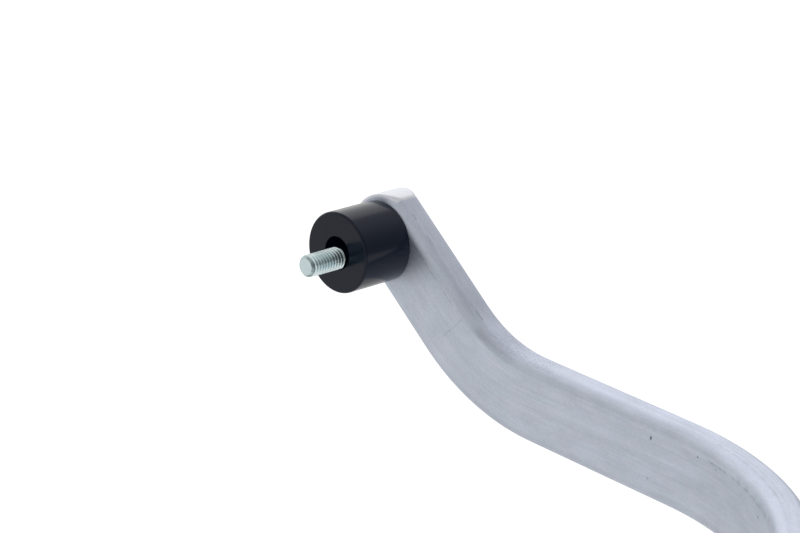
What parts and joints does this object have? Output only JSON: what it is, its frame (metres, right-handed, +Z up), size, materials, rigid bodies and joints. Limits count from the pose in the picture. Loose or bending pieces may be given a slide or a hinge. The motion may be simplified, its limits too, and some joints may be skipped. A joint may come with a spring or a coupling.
{
  "type": "motorcycle handguard",
  "caption": "Left-hand motorcycle handguard: a bent aluminium flat bar with a bar-end spacer and through bolt at its outer end and an armed handlebar clamp at its inner end.",
  "frame": {"origin": "on the axis of the bar-end bolt, in the plane where the spacer meets the end of the handlebar", "axes": "+X inboard along the handlebar, +Y forward, +Z up"},
  "size_m": [0.2674, 0.1918, 0.0643],
  "materials": {
    "bar_aluminium": "mill finish with fine lines along the bar",
    "spacer_black": "glossy turned black plastic",
    "zinc_steel": "bright zinc plating",
    "clamp_aluminium": "fine blasted cast aluminium"
  },
  "bodies": {
    "root": {"guard_bar": "bar_aluminium", "bar_end_spacer": "spacer_black", "bar_end_bolt": "zinc_steel", "bar_end_washer": "zinc_steel", "clamp_body": "clamp_aluminium", "clamp_cap": "clamp_aluminium", "clamp_bolts": "zinc_steel", "arm_bolt": "zinc_steel", "arm_washer": "zinc_steel"}
  },
  "joints": []
}
